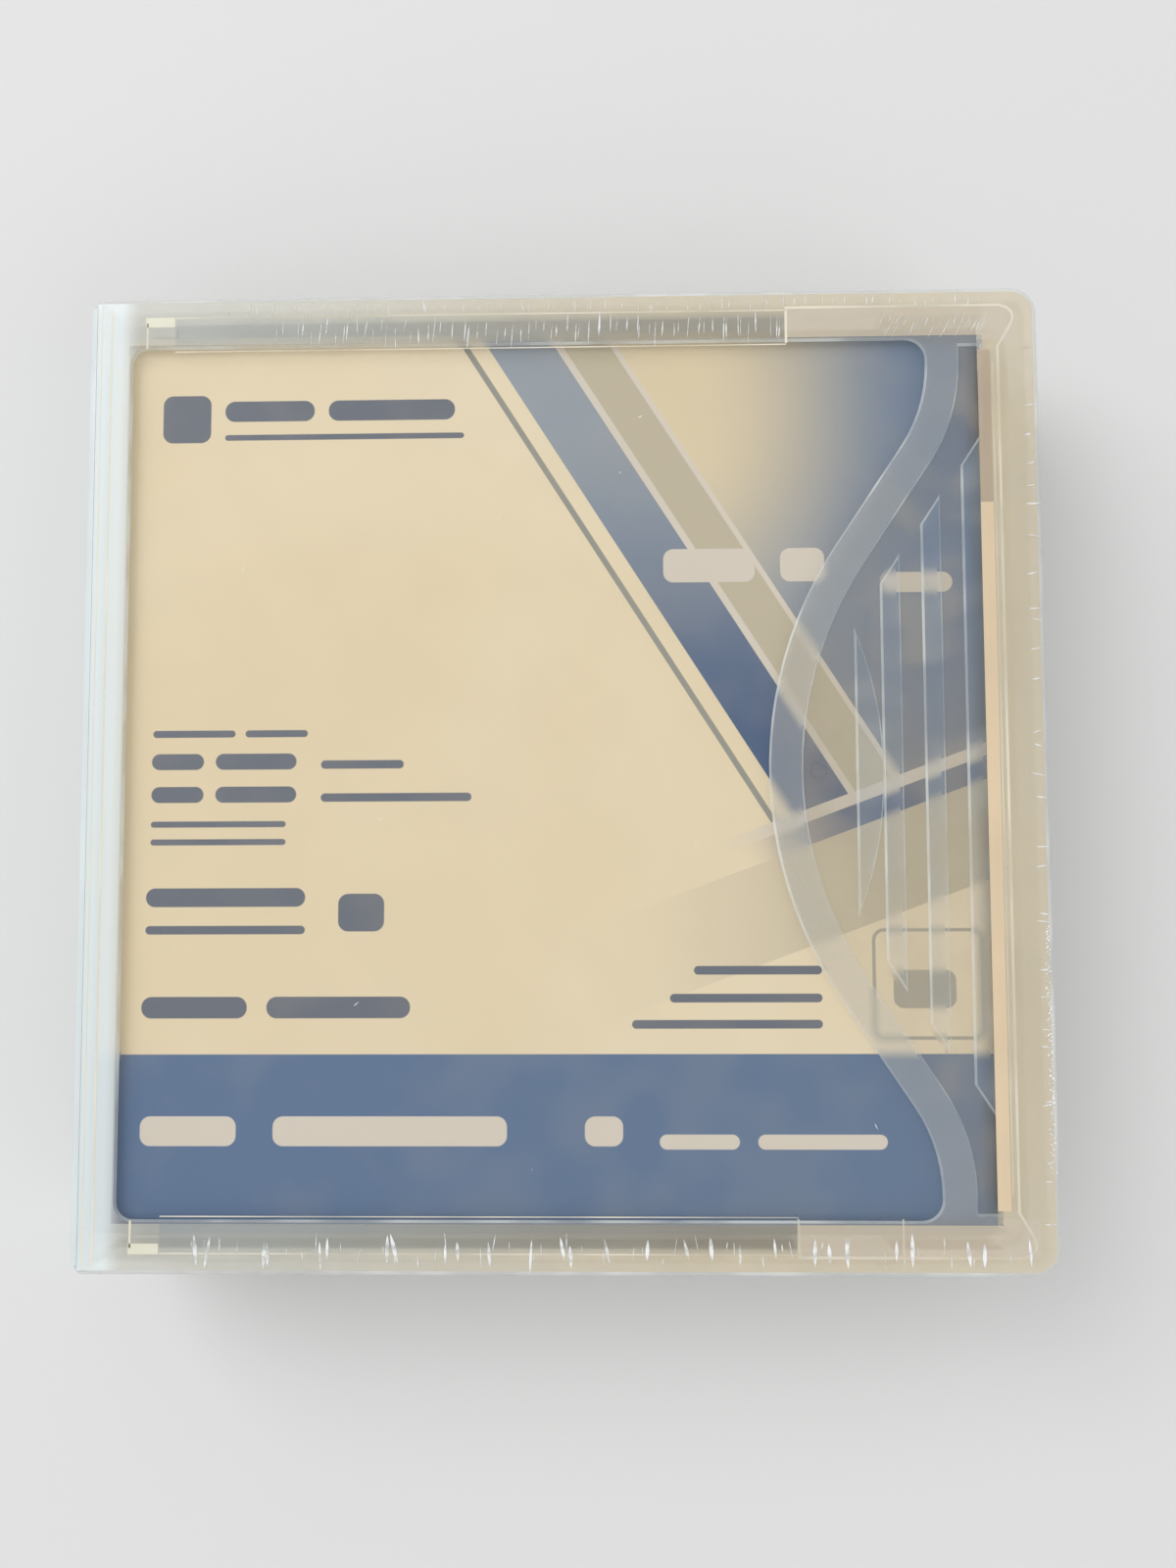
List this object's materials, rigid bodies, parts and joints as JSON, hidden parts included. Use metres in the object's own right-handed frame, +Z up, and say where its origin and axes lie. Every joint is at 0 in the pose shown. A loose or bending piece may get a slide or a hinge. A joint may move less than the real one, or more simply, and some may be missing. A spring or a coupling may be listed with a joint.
{
  "type": "data tape cartridge in a hinged library case",
  "caption": "Single-reel data tape cartridge in a translucent clamshell case with a printed wrap-round insert, lying on its back; the case, cartridge door, write-protect slider and reel move.",
  "frame": {"origin": "under the middle of the closed case, on the surface that it lies on", "axes": "+X from the spine to the opening edge, +Y along the spine towards the end of the cartridge that enters a drive, +Z up through the lid"},
  "size_m": [0.113, 0.1148, 0.027],
  "materials": {
    "case_plastic": "hazy translucent",
    "printed_paper": "satin coated print",
    "label_card": "matt",
    "shell_plastic": "fine texture",
    "steel": "satin",
    "reel_plastic": "smooth",
    "tape": "wound edge, satin",
    "brake_plastic": "smooth",
    "pin_steel": "polished",
    "door_plastic": "smooth",
    "slider_plastic": "smooth",
    "chip": "satin"
  },
  "bodies": {
    "base": {"case_tray": "case_plastic", "tray_hinge_web": "case_plastic", "label_sheet": "label_card", "cartridge_bottom_shell": "shell_plastic", "cartridge_top_shell": "shell_plastic", "shell_screws": "steel", "leader_pin": "pin_steel", "memory_chip": "chip", "brake_spring": "steel", "door_spring": "steel"},
    "spine": {"case_spine": "case_plastic", "lid_hinge_web": "case_plastic"},
    "lid": {"case_lid": "case_plastic", "cover_insert": "printed_paper"},
    "reel": {"reel_hub": "reel_plastic", "reel_upper_flange": "reel_plastic", "reel_clutch_plate": "steel", "tape_pack": "tape"},
    "brake": {"brake_gear": "brake_plastic"},
    "release": {"brake_release_pad": "brake_plastic"},
    "door": {"cartridge_door": "door_plastic"},
    "slider": {"write_protect_slider": "slider_plastic"}
  },
  "joints": [
    {"name": "spine_hinge", "type": "hinge", "parent": "base", "child": "spine", "pos_m": [-0.05608, 0, 0.00042], "axis": [0, -1, 0], "range_deg": [0, 90], "deforming": ["tray_hinge_web"]},
    {"name": "lid_hinge", "type": "hinge", "parent": "spine", "child": "lid", "pos_m": [-0.05608, 0, 0.02658], "axis": [0, -1, 0], "range_deg": [0, 90], "deforming": ["lid_hinge_web", "cover_insert"]},
    {"name": "door_slide", "type": "slide", "parent": "base", "child": "door", "axis": [0, -1, 0], "range_m": [0, 0.0125], "stiffness_N_per_m": 20, "springref_m": -0.01, "deforming": ["door_spring"]},
    {"name": "write_protect_slide", "type": "slide", "parent": "base", "child": "slider", "axis": [1, 0, 0], "range_m": [0, 0.005]},
    {"name": "reel_spin", "type": "hinge", "parent": "base", "child": "reel", "pos_m": [-0.0012, -0.0006, 0.004], "axis": [0, 0, 1], "continuous": true},
    {"name": "brake_lift", "type": "slide", "parent": "base", "child": "brake", "axis": [0, 0, 1], "range_m": [0, 0.0018], "stiffness_N_per_m": 300, "springref_m": -0.01, "deforming": ["brake_spring"]},
    {"name": "release_lift", "type": "slide", "parent": "reel", "child": "release", "axis": [0, 0, 1], "range_m": [0, 0.0018]}
  ],
  "couplings": [
    {"joint": "release_lift", "follows": "brake_lift", "ratio": 1}
  ]
}
